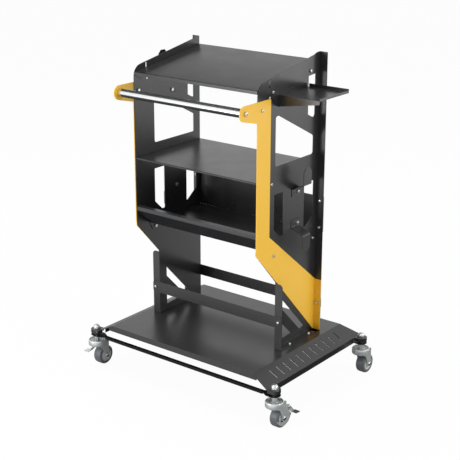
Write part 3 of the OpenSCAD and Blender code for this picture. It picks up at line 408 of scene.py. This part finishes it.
# From the rim inward: a step, a raised ring, the ball groove and the boss round the stem
r, t = (disc_high.x - disc_low.x) / 2, disc_high.z - disc_low.z
disc = [(STEM_HOLE_R, 0), (r, 0), (r, t * 0.3), (r - 2.5, t * 0.4), (r - 3.5, t * 0.95), (r - 6, t),
        (r - 8, t * 0.5), (r - 12, t * 0.4), (r - 14, t * 0.9), (STEM_HOLE_R, t * 0.95)]
at_stems(lambda bm: turned(bm, disc, 40, 0.4, 20), disc_low.z, "swivel_plates", disc_steel,
         "swivel_discs")

# Four casters. The fork is one pressing: a turned-over cup that holds the ball races, and two
# legs down to the axle bolt. The wheel is a grey rubber tread moulded on a dished nylon hub.
TRAIL, AXLE_Z, WHEEL_R, WHEEL_W = 28, 34, 34, 32
CUP_R, CUP_IN, CUP_LOW, CUP_HIGH = 30, 26.5, 80.4, 100.4
RACE_LOW, RACE_HIGH = 92.6, 95.6
LEG_IN, LEG_T, LEG_R = 17.75, 2.5, 9.5
LEG_OUT = LEG_IN + LEG_T
AXLE_R, AXLE_NUT_FLAT, AXLE_NUT_H, LUG_R = 4, 12, 5, 8
HUB_R = 23


def moulded(name, colour, roughness, mottle, sheen=0.0):
    """Moulded rubber or nylon: matt, slightly cloudy, with the mould's fine grain"""
    made = blank_material(name)
    tree = made.node_tree
    where = add(tree, "ShaderNodeTexCoord").outputs["Object"]
    # Clouds of 14 mm, and the mould's grit of 0.4 mm, drawn 1.2 mm wide so that it shows
    clouds = add(tree, "ShaderNodeTexNoise", {"Scale": 1 / (14 * mm), "Detail": 3.0}, {"Vector": where})
    grit = add(tree, "ShaderNodeTexNoise", {"Scale": 1 / (1.2 * mm), "Detail": 2.0}, {"Vector": where})
    tone = add(tree, "ShaderNodeMix", {"data_type": "RGBA", 6: shade(colour, 1 - mottle), 7: linear(colour)},
               {0: clouds.outputs["Fac"]})
    bump = add(tree, "ShaderNodeBump", {"Strength": 0.12, "Distance": 0.2 * mm},
               {"Height": grit.outputs["Fac"]})
    shader = add(tree, "ShaderNodeBsdfPrincipled",
                 {"Roughness": roughness, "IOR": 1.5, "Sheen Weight": sheen},
                 {"Base Color": tone.outputs[2], "Normal": bump.outputs[0]})
    add(tree, "ShaderNodeOutputMaterial", (), {"Surface": shader.outputs[0]})
    return made


def plate(bm, outline, low, high, eased):
    """A flat piece with an outline of depth and height, from low to high along X"""
    before = set(bm.verts)
    face = bm.faces.new([bm.verts.new((low, y, z)) for y, z in outline])
    made = bmesh.ops.extrude_face_region(bm, geom=[face], use_keep_orig=True)
    shifted = [v for v in made["geom"] if isinstance(v, bmesh.types.BMVert)]
    bmesh.ops.translate(bm, vec=(high - low, 0, 0), verts=shifted)
    faces = faces_of(added(bm, before))
    bmesh.ops.recalc_face_normals(bm, faces=list(faces))
    ease(bm, faces, eased, 35)


def arc(centre, radius, first, last, steps):
    """Points along an arc, from the first angle to the last, in degrees"""
    turns = [math.radians(first + (last - first) * i / steps) for i in range(steps + 1)]
    return [(centre[0] + radius * math.cos(a), centre[1] + radius * math.sin(a)) for a in turns]


def along_x(x):
    """Turns a shape made about Z to lie along X, its top outward"""
    return Matrix.Rotation(math.radians(90 if x > 0 else -90), 4, "Y")


def both_sides(half):
    """A profile and its mirror image across the middle"""
    return half + [(r, -z) for r, z in reversed(half)]


nylon = moulded("grey nylon", "#bcbdb9", 0.42, 0.10)
rubber = moulded("grey rubber", "#5c6064", 0.5, 0.12, 0.1)
# Where each front caster's brake turns: its pin's distance behind the stem and its height
PIVOTS = {"front_left": (28, 72), "front_right": (50, 66), "rear_left": None, "rear_right": None}
# The arch from a leg up to the front of the cup. The brake shoe passes where the left front
# caster's outer leg would have it, so that leg goes straight up.
ARCH = ((18.5, 40), (15.5, 43), (12.5, 52), (7.1, 65.1), (0.4, 70.5), (-5.5, 74), (-17.5, CUP_LOW))
STRAIGHT = ((18.5, 79),)
# The right brake's guard round the hub, in shares of the wheel's radius from the axle
GUARD = ((0.81, 0.77), (0.79, 0.44), (1.12, 0.06), (0.65, -0.57), (0.24, -0.74), (-0.26, -0.75),
         (-0.71, -0.52), (-1.09, -0.12), (-1.20, 0.13), (-0.86, -0.09), (-0.41, -0.29), (0, -0.30))
# The cup's profile: out along the web over the races, up and over the rolled rim, down the wall
CUP = [(STEM_HOLE_R, RACE_HIGH), (CUP_IN, RACE_HIGH), (CUP_IN, CUP_HIGH - 1.4),
       (CUP_IN + 0.5, CUP_HIGH - 0.4), (CUP_IN + 1.3, CUP_HIGH), (CUP_IN + 2.1, CUP_HIGH - 0.2),
       (CUP_R - 0.5, CUP_HIGH - 1.1), (CUP_R, CUP_HIGH - 2.8), (CUP_R, CUP_LOW + 3.5),
       (CUP_R - 0.5, CUP_LOW + 1.4), (CUP_R - 1.8, CUP_LOW), (CUP_IN, CUP_LOW), (CUP_IN, RACE_LOW),
       (STEM_HOLE_R, RACE_LOW)]
# The axle bolt's low round head and its shank, which passes the nut on the left leg
AXLE_HEAD = [(0, 0), (7, 0), (7, 1.2), (6.2, 2.6), (4.6, 3.6), (2.6, 4.0), (0, 4.0)]
SHANK_L, SHANK_PAST_LEG = 47, 6.5
# The hub's boss, dish and rim, and the tyre's seat, shoulder and tread, as far as the middle
w = WHEEL_W / 2
HUB = [(4.05, w + 1.45), (8.5, w + 1.45), (9.5, w - 2.6), (17.5, w - 3.2), (20.5, w - 1.0), (HUB_R, w - 0.6)]
TYRE = [(HUB_R, w - 1.2), (HUB_R + 0.8, w - 0.3), (HUB_R + 4, w), (WHEEL_R - 4.6, w - 0.3),
        (WHEEL_R - 2.6, w - 1.1), (WHEEL_R - 1.2, w - 2.6), (WHEEL_R - 0.4, w - 4.6), (WHEEL_R, w - 7.5)]
for (x, y), corner in zip(stems, ("front_left", "rear_left", "front_right", "rear_right")):
    lug = PIVOTS[corner]
    axle = (x, y + TRAIL, AXLE_Z)
    bm = bmesh.new()
    turned(bm, CUP, 56, 0.3, 50)
    for side in (-1, 1):
        low, high = sorted((side * LEG_IN, side * LEG_OUT))
        arch = ARCH if corner != "front_left" or side > 0 else STRAIGHT
        top = [(arch[-1][0], CUP_LOW + 12.5), (20.1, CUP_LOW + 12.5), (20.1, CUP_HIGH - 6),
               (33.5, CUP_HIGH - 6), (37.5, CUP_HIGH - 10)]
        plate(bm, [*arch, *top, *arc((TRAIL, AXLE_Z), LEG_R, 0, -180, 16)], low, high, 0.7)
        if lug and side * x > 0:
            # The outer leg of a front caster widens into a lug for the brake's rivet
            if corner == "front_right":
                guard = [(TRAIL + WHEEL_R * a, AXLE_Z + WHEEL_R * b) for a, b in GUARD]
                web = [(26, 45), (26, 84), (38, 80), *arc(lug, LUG_R, 80, -20, 5), *guard]
            else:
                web = [(20, 66), *arc(lug, LUG_R, 200, 340, 7), (36, 66), (36, 79.5), (20, 79.5)]
            plate(bm, web, low + 0.15, high - 0.15, 0.6)
    moved(bm, bm.verts, (x, y, 0))
    placed(sized(bm), corner + "_fork_pressing", zinc, corner + "_swivel", [corner + "_fork"])

    bm = bmesh.new()
    moved(bm, turned(bm, AXLE_HEAD, 24, 0.2), (LEG_OUT, 0, 0), along_x(1))
    shank = turned(bm, [(0, 0), (AXLE_R, 0), (AXLE_R, SHANK_L), (0, SHANK_L)], 20, 0.5)
    moved(bm, shank, (-LEG_OUT - SHANK_PAST_LEG, 0, 0), along_x(1))
    moved(bm, bm.verts, axle)
    placed(sized(bm), corner + "_axle_bolt", polished, corner + "_swivel", [corner + "_axle"])

    bm = bmesh.new()
    moved(bm, hexagon(bm, AXLE_NUT_FLAT, AXLE_NUT_H, 0.5), (-LEG_OUT, 0, 0), along_x(-1))
    moved(bm, bm.verts, axle)
    placed(sized(bm), corner + "_axle_hex", zinc, corner + "_swivel", [corner + "_axle_nut"])

    bm = bmesh.new()
    moved(bm, turned(bm, both_sides(HUB), 48, 0.35, 25), axle, along_x(1))
    placed(sized(bm), corner + "_nylon_hub", nylon, corner + "_wheel", [corner + "_hub"])

    bm = bmesh.new()
    moved(bm, turned(bm, both_sides(TYRE), 72), axle, along_x(1))
    placed(sized(bm), corner + "_rubber_tread", rubber, corner + "_wheel", [corner + "_tyre"])

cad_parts["caster_stems"].data.materials.clear()
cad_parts["caster_stems"].data.materials.append(zinc)

# The brakes on the two front casters: a pressed arm on a riveted pin outside the outer leg, a
# tread for the foot at its end and a shoe that reaches over to the tyre. Zinc and dark steel.
ARM_T, TREAD_W, TREAD_L, SHOE_R, ROD_R = 2.5, 20, 21, 4, 2
INSIDE = LEG_OUT + 0.3
pedal_steel = metal("dark phosphated steel", "#74787a", 0.38, 0.3)
# The rivet: a formed head inside the leg, the pin and a second head over the arm
RIVET = [(0, LEG_IN - 1.5), (3.6, LEG_IN - 1.4), (4.5, LEG_IN), (2.5, LEG_IN), (2.5, INSIDE + 2.8),
         (4.5, INSIDE + 2.8), (3.6, INSIDE + 4.2), (0, INSIDE + 4.3)]
# Each brake's caster, the way it faces (the left one is turned half round), how far its tread and
# its shoe lie ahead of the pin and below it, and its tread's finish
for corner, side, (step, drop), (shoe, low), finish in (
        ("front_left", -1, (34, 18.5), (19, 4), zinc),
        ("front_right", 1, (13.5, 24), (12, 10), pedal_steel)):
    x, y = stems[0 if side < 0 else 2]
    pin_y, pin_z = PIVOTS[corner]
    arm, tread = bmesh.new(), bmesh.new()
    strip = [(step + 14, ARM_T - drop), (step + 14, -drop), (step - 1, -drop)]
    plate(arm, [*arc((0, 0), 5.5, 190, 50, 8), *strip], INSIDE, INSIDE + ARM_T, 0.5)
    plate(arm, arc((shoe, -low), SHOE_R, 0, 337.5, 15), INSIDE + 0.1, INSIDE + ARM_T - 0.1, 0.3)
    rod = turned(arm, [(0, 0), (ROD_R, 0), (ROD_R, INSIDE + 2), (0, INSIDE + 2)], 12, 0.4)
    moved(arm, rod, (0, shoe, -low), along_x(1))
    plate(tread, [(step, -drop), (step + TREAD_L, -drop - 1.5), (step + TREAD_L, -drop + 1.0),
                  (step, -drop + 2.5)], INSIDE - 0.05, INSIDE + TREAD_W, 0.7)
    for k in range(4):
        rib = step + 4 + 4 * k
        plate(tread, [(rib, -drop + 1.6), (rib + 1.6, -drop + 1.5), (rib + 0.8, -drop + 2.9)],
              INSIDE + 3, INSIDE + TREAD_W - 2, 0.2)
    for bm, part, material in ((arm, "arm", zinc), (tread, "tread", finish)):
        bmesh.ops.scale(bm, vec=(side, side, 1), verts=bm.verts)
        bmesh.ops.recalc_face_normals(bm, faces=bm.faces)
        moved(bm, bm.verts, (x, y + pin_y, pin_z))
        placed(sized(bm), f"{corner}_brake_{part}", material, corner + "_brake",
               [corner + "_pedal"])

    bm = bmesh.new()
    moved(bm, turned(bm, RIVET, 20, 0.2), (x, y + pin_y, pin_z), along_x(side))
    placed(sized(bm), corner + "_brake_rivet", polished, corner + "_swivel", [corner + "_pedal_pin"])

# The side plates: laser-cut 2 mm steel with windows to save weight, folded outward into a flange
# at the rear, one on the lower post and one on the deck. The same black powder coat.
for side in ("left", "right"):
    placed(folded("side_plate_" + side, 2), "side_sheet_" + side, black_coat, "frame",
           ["side_plate_" + side])

# Three shelves: each one sheet, folded down at the sides for its bolts and at the front for a
# stiff edge. The lowest has a slanted front wall, so that it makes a bin.
for shelf in ("top_shelf", "middle_shelf", "bin_shelf"):
    placed(folded(shelf, 2, outer=2.6, inner=1.0), shelf + "_sheet", black_coat, "frame",
           [shelf])

# The back panel closes the bin, and two flat rails tie the posts and the rear flanges together.
# They are cut from the same sheet, coated like the plates and screwed on.
for part in ("back_panel", "front_rail"):
    placed(folded(part, 2), part + "_sheet", black_coat, "frame", [part])
placed(folded("back_rail", 2), "back_rail_sheet", black_coat, "frame", ["back_rail"])

# The yellow panels lie flat on the outside of the side plates. Each has a nose for the handle
# and a slanted foot folded over the rear flange. Yellow powder coat.
yellow_coat = powder_coat("yellow powder coat", "#efbc3a", 0.36)
for side in ("left", "right"):
    placed(folded("yellow_panel_" + side, 2), "yellow_sheet_" + side, yellow_coat, "frame",
           ["yellow_panel_" + side])

# The handle: a polished chrome tube between the noses, with a threaded black nylon plug in each
# end for the handle bolt.
TUBE_R, TUBE_BORE_R = 14, 12.5
chrome = metal("polished chrome", "#f0f1f2", 0.18)
bar_low, bar_high = solids("handle_bar")[0]
end = (bar_high.x - bar_low.x) / 2
bm = bmesh.new()
tube = both_sides([(TUBE_BORE_R, end), (TUBE_R - 0.6, end), (TUBE_R, end - 0.6)])
moved(bm, turned(bm, tube, 64), (bar_low + bar_high) / 2, along_x(1))
placed(sized(bm), "handle_tube", chrome, "frame", ["handle_bar"])
plastic = moulded("black nylon", "#1b1b1c", 0.45, 0.1)
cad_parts["handle_inserts"].data.materials.clear()
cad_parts["handle_inserts"].data.materials.append(plastic)

# The small tray bolted on the right plate, and the four hooks: bent strips of 2 mm sheet, each
# screwed to a plate. The same black powder coat.
placed(folded("side_tray", 2, outer=2.6, inner=1.0), "side_tray_sheet", black_coat, "frame",
       ["side_tray"])
for hook in ("upper_right_hook", "lower_right_hook", "upper_left_hook", "lower_left_hook"):
    placed(folded(hook, 2, outer=2.4, inner=0.9), hook + "_strip", black_coat, "frame", [hook])

# The screws and bolts: stainless button heads with a hexagon socket, each on the sheet that it
# holds, and the zinc-plated nuts inside the plates.
TOP_SHARE, RIM_SHARE, SOCKET_SHARE, DEPTH_SHARE = 0.9, 0.16, 0.46, 0.55
PLATE_NUT_FLAT, PLATE_NUT_H = 10, 4
stainless = metal("stainless steel", "#cfd1d2", 0.2, 0.1)


def button_head(bm, radius, height):
    """A button head about Z, its foot at zero, with a hexagon socket sunk in its top"""
    before = set(bm.verts)
    bmesh.ops.create_cone(bm, cap_ends=True, segments=18, radius1=radius, radius2=radius * TOP_SHARE,
                          depth=height)
    moved(bm, added(bm, before), (0, 0, height / 2))
    top = max(faces_of(added(bm, before)), key=lambda f: f.calc_center_median().z)
    bevelled(bm, list(top.edges), radius * RIM_SHARE, 3)
    # The face left on top is inset, and its corners are drawn to a hexagon's sides and sunk
    top = max(faces_of(added(bm, before)), key=lambda f: (round(f.calc_center_median().z, 4), f.calc_area()))
    bmesh.ops.inset_individual(bm, faces=[top], thickness=radius * RIM_SHARE, depth=0)
    for v in top.verts:
        around = math.atan2(v.co.y, v.co.x) % (math.pi / 3) - math.pi / 6
        v.co.xy = v.co.xy.normalized() * radius * SOCKET_SHARE / math.cos(around)
    sunk = bmesh.ops.extrude_discrete_faces(bm, faces=[top])["faces"][0]
    bmesh.ops.translate(bm, vec=(0, 0, -height * DEPTH_SHARE), verts=sunk.verts)
    for f in faces_of(added(bm, before)):
        f.smooth = len(f.verts) == 4 and f.normal.z > 0.02
    return added(bm, before)


# The height of each group's heads, and the axis and the way that they face
for group, height, axis, way in (
        ("shelf_bolts", 5, 0, None), ("panel_bolts", 5, 0, None), ("hook_screws", 5, 0, None),
        ("handle_bolts", 7, 0, None), ("back_panel_screws", 5, 1, -1), ("rail_screws", 5, 1, -1),
        ("foot_screws", 5, 2, 1)):
    bm = bmesh.new()
    for low, high in solids(group):
        face, size = (low + high) / 2, high - low
        # Those along X face outward from the cart's middle
        outward = way or (1 if face.x > 0 else -1)
        turn = (along_x(outward), Matrix.Rotation(math.radians(90), 4, "X"), Matrix.Identity(4))[axis]
        face[axis] = (high if outward > 0 else low)[axis] - outward * height
        radius = size[1 if axis == 0 else 0] / 2
        shank_r, shank_l = radius * 0.54, size[axis] - height
        shank = [(0, -shank_l), (radius * 0.5, -shank_l), (shank_r, -shank_l + 0.5), (shank_r, 0.2), (0, 0.2)]
        moved(bm, button_head(bm, radius, height) + turned(bm, shank, 16), face, turn)
    placed(sized(bm), group + "_heads", stainless, "frame", [group])

bm = bmesh.new()
for low, high in solids("plate_nuts"):
    foot = (low + high) / 2
    foot.x -= math.copysign(PLATE_NUT_H / 2, foot.x)
    moved(bm, hexagon(bm, PLATE_NUT_FLAT, PLATE_NUT_H, 0.4), foot, along_x(foot.x))
placed(sized(bm), "plate_nuts_hex", zinc, "frame", ["plate_nuts"])
